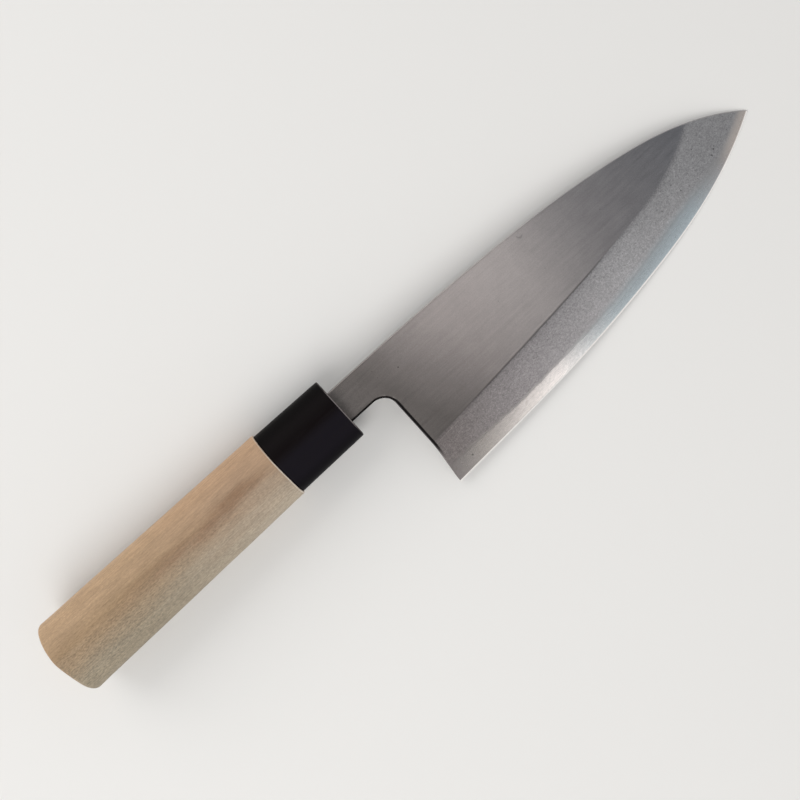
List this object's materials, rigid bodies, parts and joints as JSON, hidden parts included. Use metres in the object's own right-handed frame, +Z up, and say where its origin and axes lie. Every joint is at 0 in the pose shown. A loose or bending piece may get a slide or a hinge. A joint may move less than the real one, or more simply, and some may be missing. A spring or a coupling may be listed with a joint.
{
  "type": "deba knife",
  "caption": "Thick single-bevel kitchen knife: iron blade with a hard steel edge layer, hollow back, black collar and D-section wooden handle.",
  "frame": {"origin": "middle of the bounding box, on the surface that the knife lies on", "axes": "+X towards the blade's point, +Y from the cutting edge towards the spine, +Z up, away from the table, so the bevelled side faces up"},
  "size_m": [0.2998, 0.0606, 0.0255],
  "materials": {
    "soft_iron": "satin, drawn lengthwise, with a matt bevel",
    "hard_steel": "fine satin, brighter than the body",
    "black_collar": "satin black resin",
    "pale_wood": "bare sanded wood, grain lengthwise"
  },
  "bodies": {
    "root": {"blade_body": "soft_iron", "cutting_steel": "hard_steel", "ferrule": "black_collar", "handle": "pale_wood"}
  },
  "joints": []
}
